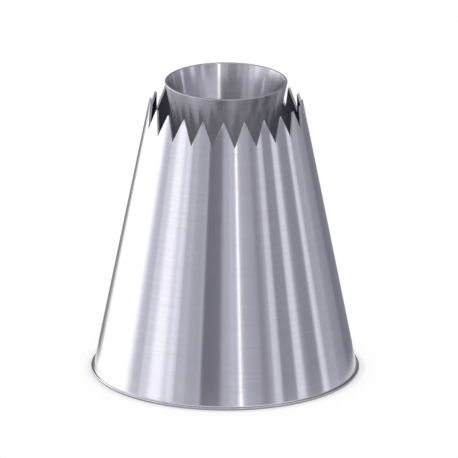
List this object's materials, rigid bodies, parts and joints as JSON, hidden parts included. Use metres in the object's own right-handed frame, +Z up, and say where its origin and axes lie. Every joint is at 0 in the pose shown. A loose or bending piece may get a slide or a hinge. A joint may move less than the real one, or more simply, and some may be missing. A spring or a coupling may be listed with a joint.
{
  "type": "piping nozzle",
  "caption": "Sheet steel piping nozzle with a toothed outer cone and an open inner cone held inside it, for piping toothed rings of dough.",
  "frame": {"origin": "middle of the base, on the plane that the lip stands on", "axes": "+Z up the nozzle's axis towards the toothed outlet, -Y to the front, where one tooth points"},
  "size_m": [0.0536, 0.0536, 0.06],
  "materials": {
    "cone_steel": "polished",
    "strip_steel": "rolled",
    "weld_steel": "as welded"
  },
  "bodies": {
    "root": {"outer_cone": "cone_steel", "inner_cone": "cone_steel", "cross_strip": "strip_steel", "strip_welds": "weld_steel", "tip_weld": "weld_steel"}
  },
  "joints": []
}
